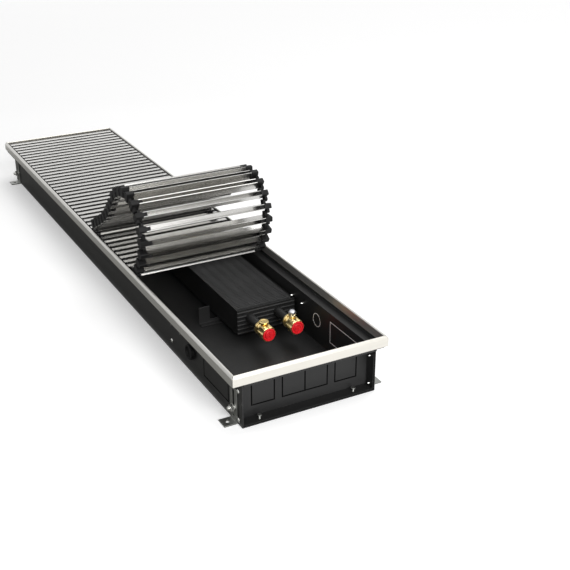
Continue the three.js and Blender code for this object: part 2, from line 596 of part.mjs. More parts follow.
/** The rubber plug in the cable port of the left wall. */
function grommet() {
  const at = [TRAY_END - PORT_FROM_END, PORT_HEIGHT];
  const barrel = PORT_RADIUS - GAP;
  const front = -WALL - GROMMET_REACH;
  const outer = bar('y', PORT_RADIUS + GROMMET_LIP, [front, -WALL - GAP], at, FINE_SIDES);
  const body = bar('y', barrel, [-WALL - LAP, -WALL + SHEET + GROMMET_TAIL], at, FINE_SIDES);
  const dish = bar('y', barrel - GROMMET_RIM, [front - PAST, front + DISH_DEPTH], at, FINE_SIDES);
  place('cable_grommet', cut(join(outer, body), dish), BLACK_PLASTIC);
}

tray();
const nearPlate = endPlate();
place('end_plate_near', nearPlate, BLACK_COAT);
place('end_plate_far', mirrored(nearPlate, MIRROR_X), BLACK_COAT);
frame();
grille();
exchanger();
valves();
corners();
grommet();

export default model;
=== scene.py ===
# %% [markdown]
# A trench convector is a long steel tray that is let into a floor. Half of it
# holds a finned water exchanger, an aluminium frame edges it, and a grille of
# aluminium slats lies in the frame. Here the grille is folded partly back, so
# the valves at the near end show. This lesson dresses the measured model of
# the heater: every piece is worked out with numpy in millimetres, then given
# a material that follows how the real one is made.

# %% Start: the measured model is the fixed frame
import json
import math

import bmesh
import bpy
import numpy as np
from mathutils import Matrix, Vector


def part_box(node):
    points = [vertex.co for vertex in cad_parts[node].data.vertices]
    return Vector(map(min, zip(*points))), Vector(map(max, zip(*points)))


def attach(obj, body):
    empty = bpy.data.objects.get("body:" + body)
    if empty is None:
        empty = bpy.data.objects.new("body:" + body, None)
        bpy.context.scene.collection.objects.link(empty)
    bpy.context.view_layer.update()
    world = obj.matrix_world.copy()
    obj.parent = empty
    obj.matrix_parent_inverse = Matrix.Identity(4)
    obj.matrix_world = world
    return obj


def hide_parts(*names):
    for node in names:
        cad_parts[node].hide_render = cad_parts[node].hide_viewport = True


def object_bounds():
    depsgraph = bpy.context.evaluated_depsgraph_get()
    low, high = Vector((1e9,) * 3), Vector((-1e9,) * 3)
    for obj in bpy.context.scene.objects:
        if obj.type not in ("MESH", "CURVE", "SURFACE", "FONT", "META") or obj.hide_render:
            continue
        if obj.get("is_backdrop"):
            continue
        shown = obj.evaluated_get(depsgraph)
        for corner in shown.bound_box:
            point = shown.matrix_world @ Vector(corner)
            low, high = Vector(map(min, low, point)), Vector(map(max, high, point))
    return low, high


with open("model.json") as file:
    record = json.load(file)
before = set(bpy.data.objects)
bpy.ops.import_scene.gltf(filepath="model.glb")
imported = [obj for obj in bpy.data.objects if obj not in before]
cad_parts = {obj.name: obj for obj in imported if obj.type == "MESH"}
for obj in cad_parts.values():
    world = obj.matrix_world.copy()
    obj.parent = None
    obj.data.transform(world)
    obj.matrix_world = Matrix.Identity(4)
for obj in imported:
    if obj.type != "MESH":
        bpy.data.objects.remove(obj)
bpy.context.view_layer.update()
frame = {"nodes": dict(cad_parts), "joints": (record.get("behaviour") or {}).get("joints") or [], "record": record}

MM = 0.001

# %% [markdown]
# The camera stands where the photographer stood: in front of the near end, a
# little to the left, and well above the floor. Its place was worked out from
# the vanishing points of the frame's long and short edges. The lens is given
# as a focal length on a 36 mm wide sensor.

# %% Camera
AZIMUTH = math.radians(61.712)
ELEVATION = math.radians(25.303)
STAND = Vector((1.6885, -0.6312, 0.7953))
SENSOR_MM = 36
NEAR_CLIP = 0.01
FOCAL_SHARE = 1.79713  # focal length as a share of the picture's width

back = Vector((math.sin(AZIMUTH) * math.cos(ELEVATION),
               -math.cos(AZIMUTH) * math.cos(ELEVATION), math.sin(ELEVATION)))
camera = bpy.data.objects.new("camera", bpy.data.cameras.new("camera"))
camera.data.sensor_width = SENSOR_MM
camera.data.lens = SENSOR_MM * FOCAL_SHARE
camera.data.clip_start = NEAR_CLIP
camera.location = STAND
camera.rotation_mode = "QUATERNION"
camera.rotation_quaternion = (-back).to_track_quat("-Z", "Y")
bpy.context.scene.collection.objects.link(camera)
bpy.context.scene.camera = camera
bpy.context.scene.view_settings.view_transform = "Standard"
print("camera at", tuple(round(v, 3) for v in STAND))

# %% [markdown]
# Two helpers serve all the materials. One turns a colour as it is written for
# a screen into the linear values that light is reckoned in. The other adds one
# node to a tree and connects its inputs.

# %% Colours and node helper
def linear(hex_colour):
    """sRGB hex to linear RGBA: c / 12.92 below 0.04045, else ((c + 0.055) / 1.055) ** 2.4."""
    c = np.array([int(hex_colour[i:i + 2], 16) / 255 for i in (1, 3, 5)])
    low = c / 12.92
    high = ((c + 0.055) / 1.055) ** 2.4
    return (*np.where(c <= 0.04045, low, high).tolist(), 1.0)


def add(tree, kind, inputs=None, **settings):
    """Adds one node. Each input is a number, a colour or another node's output socket."""
    node = tree.nodes.new(kind)
    for key, value in settings.items():
        setattr(node, key, value)
    for key, value in (inputs or {}).items():
        if isinstance(value, bpy.types.NodeSocket):
            tree.links.new(value, node.inputs[key])
        else:
            node.inputs[key].default_value = value
    return node


print("white is", linear("#ffffff")[:3])

# %% [markdown]
# A studio for a black object with bright metal: one wide soft lamp to the
# right of the near end and one above, so that the long left side stays a tone
# darker than the near end. The floor and the world are white where the camera
# or a reflection looks at them, and the floor keeps the shadow. A dark card
# lies on the floor along the left side, where only reflections see it.

# %% Studio: world, floor, lamps and card
def seen_rays(tree):
    """1 for rays from the camera, from a reflection or through glass, else 0."""
    rays = add(tree, "ShaderNodeLightPath").outputs
    seen = add(tree, "ShaderNodeMath", {0: rays["Is Camera Ray"], 1: rays["Is Glossy Ray"]},
               operation="ADD")
    return add(tree, "ShaderNodeMath", {0: seen.outputs[0], 1: rays["Is Transmission Ray"]},
               operation="ADD", use_clamp=True).outputs[0]


WORLD_FILL = 0.3
FLOOR_GLOW = (0.3, 0.7)  # near the object, and where the lamps no longer reach
GLOW_REACH = (1.2, 5.0)
FLOOR_HALF = 8.0
FLOOR_DROP = 0.5 * MM
CARD_X, CARD_Y = (-0.9, 0.62), (-0.9, -0.112)
CARD_LIFT = 0.5 * MM
MATT = 0.9
WHITE = (1, 1, 1, 1)
world = bpy.data.worlds.new("studio")
bpy.context.scene.world = world
world.use_nodes = True
tree = world.node_tree
tree.nodes.clear()
strength = add(tree, "ShaderNodeMapRange", {"Value": seen_rays(tree), "To Min": WORLD_FILL,
                                            "To Max": 1.0})
sky = add(tree, "ShaderNodeBackground", {"Color": WHITE,
                                         "Strength": strength.outputs["Result"]})
add(tree, "ShaderNodeOutputWorld", {"Surface": sky.outputs[0]})


def stage_sheet(name, finish, colour, x, y, z):
    """A level matt rectangle between low and high x and y, for the stage only."""
    mesh = bpy.data.meshes.new(name)
    corners = [(x[0], y[0], z), (x[1], y[0], z), (x[1], y[1], z), (x[0], y[1], z)]
    mesh.from_pydata(corners, [], [[0, 1, 2, 3]])
    sheet = bpy.data.objects.new(name, mesh)
    bpy.context.scene.collection.objects.link(sheet)
    sheet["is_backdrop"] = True
    material = bpy.data.materials.new(finish)
    material.use_nodes = True
    shader = material.node_tree.nodes["Principled BSDF"]
    shader.inputs["Base Color"].default_value = linear(colour)
    shader.inputs["Roughness"].default_value = MATT
    mesh.materials.append(material)
    return sheet, material.node_tree, shader


wide = (-FLOOR_HALF, FLOOR_HALF)
_, tree, paper = stage_sheet("floor", "white_paper_floor", "#fafafa", wide, wide, -FLOOR_DROP)
paper.inputs["Emission Color"].default_value = WHITE
where = add(tree, "ShaderNodeTexCoord").outputs["Object"]
distance = add(tree, "ShaderNodeVectorMath", {0: where}, operation="LENGTH")
ramp = add(tree, "ShaderNodeMapRange", {
    "Value": distance.outputs["Value"], "From Min": GLOW_REACH[0], "From Max": GLOW_REACH[1],
    "To Min": FLOOR_GLOW[0], "To Max": FLOOR_GLOW[1]})
glow = add(tree, "ShaderNodeMath", {0: seen_rays(tree), 1: ramp.outputs["Result"]},
           operation="MULTIPLY")
tree.links.new(glow.outputs[0], paper.inputs["Emission Strength"])


def lamp(name, place, aim, size, watts):
    """A square soft lamp at a place, turned towards a point."""
    light = bpy.data.lights.new(name, "AREA")
    light.size = size
    light.energy = watts
    light_object = bpy.data.objects.new(name, light)
    light_object.location = place
    turn = (Vector(aim) - Vector(place)).to_track_quat("-Z", "Y")
    light_object.rotation_mode = "QUATERNION"
    light_object.rotation_quaternion = turn
    bpy.context.scene.collection.objects.link(light_object)


lamp("front_softbox", (3.3, -0.2, 1.7), (0.3, 0, 0), 1.8, 95)
lamp("top_softbox", (-0.4, 0.9, 3.0), (0, 0, 0), 2.2, 30)

card, _, _ = stage_sheet("dark_card", "dark_card", "#8c8c88", CARD_X, CARD_Y, CARD_LIFT)
card.visible_camera = card.visible_diffuse = card.visible_shadow = False
print("studio: floor, card, world and 2 lamps")

# %% [markdown]
# The surfaces share three small tools. A grid of points becomes quads, a
# closed outline is carried along an axis, and a profile is turned round an
# axis. All of them work on whole arrays, in millimetres.

# %% Surface tools
MERGE = 0.002 * MM
MERGE_DRESSED = 0.005 * MM
FLAT_TURN = math.radians(1)
SHARP_TURN = math.radians(35)
BEVEL_TURN = math.radians(40)
BEVEL_SEGMENTS = 2


def grid_faces(rows, columns, wrap_columns=False):
    """Quads between neighbours of a grid: (i, j), (i + 1, j), (i + 1, j + 1), (i, j + 1)."""
    i = np.arange(rows - 1)[:, None]
    j = np.arange(columns if wrap_columns else columns - 1)[None, :]
    down, right = i + 1, (j + 1) % columns
    quads = [i * columns + j, down * columns + j, down * columns + right, i * columns + right]
    return np.stack(np.broadcast_arrays(*quads), -1).reshape(-1, 4)


def in_axis(along, a, b, axis):
    """Points from a place along one axis and the two other coordinates, in x, y, z order."""
    order = {"x": (along, a, b), "y": (a, along, b), "z": (a, b, along)}[axis]
    return np.stack(np.broadcast_arrays(*order), -1)


def tube_faces(count):
    """The wall between two rings of points, and a cap on each ring."""
    caps = [np.arange(count)[None, ::-1], np.arange(count, 2 * count)[None, :]]
    return [grid_faces(2, count, wrap_columns=True), *caps]


def carried(outline, axis, start, end):
    """A closed outline of [a, b] points carried straight from start to end, both ends closed."""
    outline = np.asarray(outline, float)
    along = np.array([[start], [end]], float)
    rings = in_axis(along, outline[None, :, 0], outline[None, :, 1], axis)
    return rings.reshape(-1, 3), tube_faces(len(outline))


def block(x, y, z):
    """A box from low to high on each axis."""
    return carried([[x[0], y[0]], [x[1], y[0]], [x[1], y[1]], [x[0], y[1]]], "z", *z)


def turned(profile, axis, centre, sides=48, lobes=0, lobe_depth=0.0):
    """A profile of [radius, place] points turned round an axis. Lobes make the radius follow
    1 + depth * cos(lobes * angle), for knurls and soft hexagons; depth may differ by point."""
    profile = np.asarray(profile, float)
    angle = np.linspace(0, 2 * np.pi, sides, endpoint=False)[None, :]
    radius = profile[:, :1] * (1 + np.reshape(lobe_depth, (-1, 1)) * np.cos(lobes * angle))
    points = in_axis(profile[:, 1:], centre[0] + radius * np.cos(angle),
                     centre[1] + radius * np.sin(angle), axis)
    faces = [grid_faces(len(profile), sides, wrap_columns=True)]
    return points.reshape(-1, 3), faces


def arc(centre, radius, start, end, count=6):
    """Points on a round corner from one angle to another, in degrees."""
    angle = np.radians(np.linspace(start, end, count))
    return np.stack([centre[0] + radius * np.cos(angle), centre[1] + radius * np.sin(angle)], -1)


def hexagon(across_flats, centre):
    """The six corners of a nut, at width across flats / 2 / cos(30 degrees) from the centre."""
    return arc(centre, across_flats / 2 / math.cos(math.pi / 6), 30, 330)


def make(name, parts, material, round_mm=0.0):
    """Joins parts of points and faces into one object in metres, with outward faces, sharp
    edges past 35 degrees and, if asked, edges rounded by a bevel."""
    starts = np.cumsum([0] + [len(points) for points, _ in parts])
    points = np.concatenate([points for points, _ in parts]) * MM
    faces = [face for (_, groups), start in zip(parts, starts) for group in groups
             for face in (group + start).tolist()]
    mesh = bpy.data.meshes.new(name)
    mesh.from_pydata(points.tolist(), [], faces)
    return settle(name, mesh, material, round_mm)


def settle(name, mesh, material, round_mm):
    """Merges doubles, turns the faces outwards and makes the object."""
    work = bmesh.new()
    work.from_mesh(mesh)
    bmesh.ops.remove_doubles(work, verts=work.verts, dist=MERGE)
    bmesh.ops.dissolve_degenerate(work, edges=work.edges, dist=MERGE)
    bmesh.ops.recalc_face_normals(work, faces=work.faces)
    work.to_mesh(mesh)
    work.free()
    mesh.shade_smooth()
    mesh.set_sharp_from_angle(angle=SHARP_TURN)
    mesh.materials.clear()
    mesh.materials.append(material)
    piece = bpy.data.objects.new(name, mesh)
    bpy.context.scene.collection.objects.link(piece)
    if round_mm:
        bevel = piece.modifiers.new("rounded_edges", "BEVEL")
        bevel.width = round_mm * MM
        bevel.segments = BEVEL_SEGMENTS
        bevel.limit_method = "ANGLE"
        bevel.angle_limit = BEVEL_TURN
        bevel.harden_normals = True
    return piece


def dress(node, name, material, round_mm):
    """A copy of a measured node with its loose triangles merged into whole faces and its
    edges rounded, so that sheet and cast edges catch the light."""
    mesh = frame["nodes"][node].data.copy()
    work = bmesh.new()
    work.from_mesh(mesh)
    bmesh.ops.remove_doubles(work, verts=work.verts, dist=MERGE_DRESSED)
    bmesh.ops.dissolve_limit(work, angle_limit=FLAT_TURN, verts=work.verts, edges=work.edges)
    work.to_mesh(mesh)
    work.free()
    return settle(name, mesh, material, round_mm)


def mount(piece, body, slot, *nodes):
    """Lets a finished piece ride on its body in place of its nodes. The slot is not used."""
    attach(piece, body)
    if nodes:
        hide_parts(*nodes)
    print(piece.name, "on", body, len(piece.data.polygons), "faces")
    return piece


def low_high(node):
    """A measured node's lowest and highest corners, in millimetres."""
    low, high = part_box(node)
    return np.array(low) / MM, np.array(high) / MM


print("tools work on whole arrays; a block has", len(block((0, 1), (0, 1), (0, 1))[0]), "corners")

# %% [markdown]
# Powder coat is a polyester film baked on steel: it hides the metal, has a
# satin gloss and a slight orange peel about a millimetre across, which shows
# only where a highlight runs over it. The real tray is nearly black.

# %% Material: satin black powder coat on steel
PEEL_PER_METRE = 900.0
PEEL_DEPTH = 0.08 * MM
DRIFT_PER_METRE = 14.0
GLOSS_DRIFT = 0.06
COAT_IOR = 1.42


def blank(name):
    """A new material with an empty tree and its output and shader in place."""
    material = bpy.data.materials.new(name)
    material.use_nodes = True
    shader = material.node_tree.nodes["Principled BSDF"]
    place = add(material.node_tree, "ShaderNodeTexCoord").outputs["Object"]
    return material, material.node_tree, shader, place


def tint(tree, factor, first, second):
    """A colour that moves between two hex colours with a factor."""
    mix = add(tree, "ShaderNodeMix", {0: factor, 6: linear(first), 7: linear(second)},
              data_type="RGBA")
    return mix.outputs[2]


def powder_coat(name, dark, light, roughness):
    """Coat: orange peel as fine bumps, and a colour and gloss that drift over the sheet."""
    material, tree, shader, place = blank(name)
    peel = add(tree, "ShaderNodeTexNoise", {"Vector": place, "Scale": PEEL_PER_METRE,
                                            "Detail": 2.0})
    cloud = add(tree, "ShaderNodeTexNoise", {"Vector": place, "Scale": DRIFT_PER_METRE,
                                             "Detail": 4.0})
    colour = tint(tree, cloud.outputs["Fac"], dark, light)
    rough = add(tree, "ShaderNodeMapRange", {"Value": cloud.outputs["Fac"],
                                             "To Min": roughness - GLOSS_DRIFT,
                                             "To Max": roughness + GLOSS_DRIFT})
    bump = add(tree, "ShaderNodeBump", {"Height": peel.outputs["Fac"], "Strength": 0.25,
                                        "Distance": PEEL_DEPTH})
    tree.links.new(colour, shader.inputs["Base Color"])
    tree.links.new(rough.outputs["Result"], shader.inputs["Roughness"])
    tree.links.new(bump.outputs["Normal"], shader.inputs["Normal"])
    shader.inputs["IOR"].default_value = COAT_IOR
    return material


BLACK_COAT = powder_coat("powder_coated_steel_black", "#171717", "#1d1d1d", 0.46)
BLACK_LACQUER = powder_coat("lacquered_aluminium_black", "#323232", "#444444", 0.5)
print("coats:", BLACK_COAT.name, "and", BLACK_LACQUER.name)

# %% [markdown]
# The frame and the slats are extruded aluminium with a clear natural
# anodising: pale grey, a satin gloss, and fine die lines that run along the
# bar. Real lines are a few tenths of a millimetre apart; they are drawn 1 mm
# apart, as a soft streak in colour and gloss, because a relief this shallow
# would only sparkle. Zinc plate, machined brass and nickel are made the same
# way, with lines of 0.6 and 1 mm.

# %% Material: anodised aluminium, zinc, brass and nickel
LINE_STRETCH = 300
STAIN_PER_METRE = 9.0
LINE_GLOSS = 0.04


def drawn_metal(name, dark, light, roughness, axis, line_mm):
    """Metal with die lines: a noise squeezed across the bar and 300 times longer along it."""
    material, tree, shader, place = blank(name)
    across = 1 / (line_mm * MM)
    along = across / LINE_STRETCH
    scale = [across, across, across]
    scale["xyz".index(axis)] = along
    stretched = add(tree, "ShaderNodeMapping", {"Vector": place, "Scale": scale})
    lines = add(tree, "ShaderNodeTexNoise", {"Vector": stretched.outputs[0], "Scale": 1.0,
                                             "Detail": 3.0})
    cloud = add(tree, "ShaderNodeTexNoise", {"Vector": place, "Scale": STAIN_PER_METRE,
                                             "Detail": 3.0})
    both = add(tree, "ShaderNodeMath", {0: lines.outputs["Fac"], 1: cloud.outputs["Fac"]},
               operation="MULTIPLY")
    colour = tint(tree, both.outputs[0], dark, light)
    rough = add(tree, "ShaderNodeMapRange", {"Value": lines.outputs["Fac"],
                                             "To Min": roughness - LINE_GLOSS,
                                             "To Max": roughness + LINE_GLOSS})
    tree.links.new(colour, shader.inputs["Base Color"])
    tree.links.new(rough.outputs["Result"], shader.inputs["Roughness"])
    shader.inputs["Metallic"].default_value = 1.0
    return material


SLAT_METAL = drawn_metal("anodised_aluminium_slats", "#bcbbb8", "#dfdedb", 0.24, "y", 1.0)
RIM_ALONG_X = drawn_metal("anodised_aluminium_long_rims", "#c4c3bf", "#e2e0dc", 0.4, "x", 1.0)
# The end bars are the same aluminium as the long bars; their paler, creamier colour is painted light, for the
# strong light on the near end.
RIM_ALONG_Y_PAINTED_LIGHTER = drawn_metal("anodised_aluminium_end_rims_painted_lighter", "#d2cfc7", "#efece4", 0.33, "y", 1.0)
ZINC = drawn_metal("zinc_plated_steel", "#7c7d7a", "#b9bab6", 0.38, "z", 0.6)
BARE_STEEL = drawn_metal("bright_zinc_screws", "#c4c4c0", "#efefec", 0.25, "z", 0.6)
BRASS = drawn_metal("machined_brass", "#ead08c", "#f8e6b4", 0.28, "z", 1.0)
NICKEL = drawn_metal("nickel_plated_brass", "#b9bac0", "#ececf0", 0.3, "z", 1.0)
print("metals lined along x, y or z: slats, two rims, zinc, screws, brass and nickel")

# %% [markdown]
# The end pieces of the slats are moulded black nylon, the plug in the wall is
# soft black plastic, and the caps on the valves are glossy red polyethylene.
# Moulded plastic has a fine even grain and a broad highlight.

# %% Material: moulded plastics
FLOW_PER_METRE = 60.0
GRAIN_DEPTH = 0.05 * MM
PLASTIC_IOR = 1.45


def moulded(name, dark, light, roughness, grain_mm, shine=0.5):
    """Plastic: a colour that drifts slowly along the flow, and a grain of fine bumps. Shine is
    the strength of the mirror-like part; 0.5 is that of plain plastic."""
    material, tree, shader, place = blank(name)
    grain = add(tree, "ShaderNodeTexNoise", {"Vector": place, "Scale": 1 / (grain_mm * MM),
                                             "Detail": 2.0})
    flow = add(tree, "ShaderNodeTexNoise", {"Vector": place, "Scale": FLOW_PER_METRE,
                                            "Detail": 2.0})
    colour = tint(tree, flow.outputs["Fac"], dark, light)
    bump = add(tree, "ShaderNodeBump", {"Height": grain.outputs["Fac"], "Strength": 0.2,
                                        "Distance": GRAIN_DEPTH})
    tree.links.new(colour, shader.inputs["Base Color"])
    tree.links.new(bump.outputs["Normal"], shader.inputs["Normal"])
    shader.inputs["Roughness"].default_value = roughness
    shader.inputs["IOR"].default_value = PLASTIC_IOR
    shader.inputs["Specular IOR Level"].default_value = shine
    return material


BLACK_NYLON = moulded("moulded_nylon_black", "#0b0b0b", "#121212", 0.6, 0.4, 0.3)
SOFT_BLACK = moulded("soft_plastic_black", "#080808", "#0e0e0e", 0.6, 0.5, 0.2)
RED_CAP = moulded("polyethylene_red", "#ea1c28", "#fa3c44", 0.38, 0.5)
print("plastics:", BLACK_NYLON.name, SOFT_BLACK.name, RED_CAP.name)

# %% [markdown]
# The cut lines of the knock-outs are painted shade and light: a dead black
# strip is painted shadow for a narrow slot that no light leaves, and a pale,
# near white strip is painted light for the light that comes in through the slot.

# %% Material: painted slot shadow and painted light through the slot
# Painted shadow: the dead black of a narrow slot that no light leaves.
SLOT_SHADOW_PAINT = moulded("painted_shadow_in_a_cut_slot", "#020202", "#040404", 0.9, 0.5, 0.05)
# Painted light: pale strips for the light that comes in through a slot.
SLOT_LIGHT_PAINT = moulded("painted_light_through_slot", "#f4ecea", "#ffffff", 0.5, 0.5)
print("materials:", len(bpy.data.materials))

# %% [markdown]
# The tray is one sheet, 1.2 mm thick, folded along its length. The copy of the
# measured sheet keeps its port, stud holes and pressed knock-outs; a bevel
# gives the folds their small radius.

# %% Tray and end plates
SHEET = 1.2
FOLD_ROUND, PLATE_ROUND = 0.6, 0.55
mount(dress("tray", "folded_tray", BLACK_COAT, FOLD_ROUND), "tray_unit", "black_coat", "tray")
END_FACE = low_high("end_plate_near")[0][0] + SHEET
for end in ("near", "far"):
    piece = dress(f"end_plate_{end}", f"pressed_end_plate_{end}", BLACK_COAT, PLATE_ROUND)
    mount(piece, "tray_unit", "black_coat", f"end_plate_{end}")

# %% [markdown]
# Knock-outs are outlines that are cut most of the way, so that a panel can be
# pressed out on site. Outside, strips of painted shadow make their slots black.
# Inside the right wall, strips of painted light draw one panel and one ring.

# %% Knock-out lines
KNOCK_Z = (18.8, 56.2)
END_PANELS = ((-85.7, -47.3), (-36.2, 40.2), (51.3, 89.7))
SHARED_LINE = 2.0
SIDE_SPAN = (463.8, 550.2)
WALL = 109.5
SLOT_WIDE = 2.0
LIGHT_WIDE, RING_WIDE = 1.3, 1.2
PROUD, LIGHT_PROUD, SUNK = 0.08, 0.12, 0.3
RING_X, RING_Z, RING_RADIUS = 422, 40, 10.5


def outline_strips(axis, face, a, b, line):
    """A rectangular outline of four thin strips; face holds its low and high place."""
    edges = [((a[0], a[1]), (b[0], b[0] + line)), ((a[0], a[1]), (b[1] - line, b[1])),
             ((a[0], a[0] + line), (b[0] + line, b[1] - line)),
             ((a[1] - line, a[1]), (b[0] + line, b[1] - line))]
    order = (lambda u, v: (face, u, v)) if axis == "x" else (lambda u, v: (u, face, v))
    return [block(*order(u, v)) for u, v in edges]


# The black strips on the end plates and walls are painted shadow in the knock-out slots.
for end, way in (("near", 1), ("far", -1)):
    face_x = END_FACE * way
    place = sorted((face_x - way * SUNK, face_x + way * PROUD))
    strips = [part for panel in END_PANELS
              for part in outline_strips("x", place, panel, KNOCK_Z, SLOT_WIDE)]
    strips.append(block(place, (SHARED_LINE - SLOT_WIDE / 2, SHARED_LINE + SLOT_WIDE / 2),
                        (KNOCK_Z[0] + SLOT_WIDE, KNOCK_Z[1] - SLOT_WIDE)))
    mount(make(f"end_knockout_shadows_{end}", strips, SLOT_SHADOW_PAINT), "tray_unit", "black_coat")
strips = [part for out in (-1, 1)
          for part in outline_strips("y", sorted((out * (WALL - SUNK), out * (WALL + PROUD))),
                                     SIDE_SPAN, KNOCK_Z, SLOT_WIDE)]
mount(make("side_knockout_shadows", strips, SLOT_SHADOW_PAINT), "tray_unit", "black_coat")
# The pale outline and ring inside the right wall are painted light.
inside = (WALL - SHEET - LIGHT_PROUD, WALL - SHEET + SUNK)
outer_radius = RING_RADIUS + RING_WIDE
ring = turned([[RING_RADIUS, inside[0]], [outer_radius, inside[0]], [outer_radius, inside[1]],
               [RING_RADIUS, inside[1]], [RING_RADIUS, inside[0]]], "y", (RING_X, RING_Z), 40)
strips = outline_strips("y", inside, SIDE_SPAN, KNOCK_Z, LIGHT_WIDE)
mount(make("knockout_light_lines", [*strips, ring], SLOT_LIGHT_PAINT), "tray_unit", "zinc_steel")

# %% [markdown]
# The frame is an extruded angle with a bevelled outer shoulder. Its four bars
# are cut at 45 degrees, so the outline is carried along the bar while both
# ends slide with the distance from the outer edge. A hair of a gap stays open
# at each mitre.

# %% Frame bars
MITRE_GAP = 0.5
BAR_LEG = 2.0
BAR_STEP = 2.6
INNER_CHAMFER = 0.8
SHOULDER_IN, SHOULDER_DOWN, SHOULDER_ROUND = 2.5, 4.0, 0.6


def frame_bar(node, axis, side):
    """An outline [in from the outer face, height] carried along a bar; each end is set back
    by as much as the point lies inwards, which makes the mitre."""
    low, high = low_high(node)
    length = "xy".index(axis)
    depth = 1 - length
    top, foot = high[2], low[2]
    roof, rim = foot + BAR_STEP, high[depth] - low[depth]
    outline = np.concatenate([
        [[0, foot], [BAR_LEG, foot], [BAR_LEG, roof], [rim, roof], [rim, top - INNER_CHAMFER],
         [rim - INNER_CHAMFER, top]],
        arc((SHOULDER_IN, top - SHOULDER_ROUND), SHOULDER_ROUND, 90, 120, 3),
        arc((SHOULDER_ROUND, top - SHOULDER_DOWN), SHOULDER_ROUND, 150, 180, 3),
    ])
    outer = low[depth] if side < 0 else high[depth]
    half = (high[length] - low[length]) / 2
    reach = half - outline[:, 0] - MITRE_GAP / 2
    along = np.stack([-reach, reach])
    across = np.broadcast_to(outer - side * outline[:, 0], along.shape)
    height = np.broadcast_to(outline[:, 1], along.shape)
    order = (along, across, height) if axis == "x" else (across, along, height)
    return np.stack(order, -1).reshape(-1, 3), tube_faces(len(outline))


# The end bars take the paler metal, which is painted light.
BARS = (("frame_left", "x", -1, RIM_ALONG_X), ("frame_right", "x", 1, RIM_ALONG_X),
        ("frame_near", "y", 1, RIM_ALONG_Y_PAINTED_LIGHTER), ("frame_far", "y", -1, RIM_ALONG_Y_PAINTED_LIGHTER))
for node, axis, side, metal in BARS:
    piece = make(node.replace("frame", "rim"), [frame_bar(node, axis, side)], metal)
    mount(piece, "tray_unit", "frame_aluminium", node)

# %% [markdown]
# A slat is an extruded channel, open underneath. Black nylon plugs close its
# ends and carry the links: a tongue on one side and a cheek on the other,
# which share a hinge line between two slats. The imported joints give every
# hinge, and the couplings give how far each one is bent.

# %% Slats: shapes
hinges = [joint for joint in frame["joints"] if joint["name"].startswith("grille_hinge")]
pivots = np.array([joint["pos_m"] for joint in hinges]) / MM
steps = np.diff(pivots, axis=0)
tilts = np.unwrap(np.arctan2(steps[:, 2], steps[:, 0]))
couplings = frame["record"]["behaviour"]["couplings"]
ratios = {c["joint"]: (c["follows"], c["ratio"]) for c in couplings}
leader, ratio = ratios[hinges[-1]["name"]]
lead_bend = [joint["range_deg"][1] for joint in hinges if joint["name"] == leader][0]
tilts = np.append(tilts, tilts[-1] + math.radians(lead_bend * ratio))
PITCH = float(np.linalg.norm(pivots[1] - pivots[0]))
bed_low, bed_high = low_high("grille_flat_slats")
SLAT_HALF = bed_high[1]
SLAT_TALL = bed_high[2] - bed_low[2]
HINGE_DROP = bed_high[2] - pivots[0][2]
SLAT_WIDE = 9.0
SLAT_WALL = 1.2
SLAT_CHAMFER = 0.4
PLATE_SHORT = 0.4
PLUG_LONG, PLUG_CHAMFER = 13.0, 1.0
PLUG_PLAY, PLATE_PLAY = 0.1, 0.05
TONGUE_LONG, TONGUE_RAISED = 8, 3.0
LINK_INSET, LINK_STEP, LINK_THICK = 2, 5.0, 4.5
LINK_NOSE, LINK_TOE = 2.5, 0.5
LINK_BEND, LINK_FOOT = -8.5, -11.0
FLAT_COUNT = int(round((pivots[0][0] - bed_low[0]) / PITCH))


def channel():
    """The slat's outline at the origin, top at 0: [x, z] with rounded shoulders."""
    half, inner = SLAT_WIDE / 2, SLAT_WIDE / 2 - SLAT_WALL
    return np.concatenate([
        [[half, -SLAT_TALL], [half, -SLAT_CHAMFER], [half - SLAT_CHAMFER, 0],
         [SLAT_CHAMFER - half, 0], [-half, -SLAT_CHAMFER],
         [-half, -SLAT_TALL], [-inner, -SLAT_TALL]],
        [[-inner, -SLAT_WALL], [inner, -SLAT_WALL], [inner, -SLAT_TALL]]])


def profile_part(x):
    """The channel between the nylon ends, and its top plate, which runs on over them."""
    outline = channel() + [x, 0]
    half = SLAT_WIDE / 2
    plate = [[x + half - SLAT_CHAMFER, 0], [x - half + SLAT_CHAMFER, 0],
             [x - half, -SLAT_CHAMFER], [x - half, -SLAT_WALL],
             [x + half, -SLAT_WALL], [x + half, -SLAT_CHAMFER]]
    inner = SLAT_HALF - PLUG_LONG
    parts = [carried(outline, "y", -inner, inner)]
    for sign in (-1, 1):
        outer = SLAT_HALF - PLATE_SHORT
        parts.append(carried(plate, "y", *sorted((sign * inner, sign * outer))))
    return parts


def link(x, reach, layer, sign):
    """A flat link with a round nose on the hinge line, from the slat's middle to its reach."""
    inner_edge = SLAT_HALF - PLUG_LONG + LINK_INSET + layer * LINK_STEP
    y = sorted((sign * inner_edge, sign * (inner_edge + LINK_THICK)))
    way = math.copysign(1, reach)
    nose = arc((0, -HINGE_DROP), LINK_NOSE, 90, 0, 5)
    outline = np.concatenate([[[-abs(reach), -HINGE_DROP + LINK_NOSE]], nose,
                              [[LINK_NOSE, LINK_BEND], [LINK_TOE, LINK_FOOT],
                               [-abs(reach), LINK_FOOT]]])
    outline[:, 0] = x + reach + way * outline[:, 0]
    return carried(outline, "y", *y)


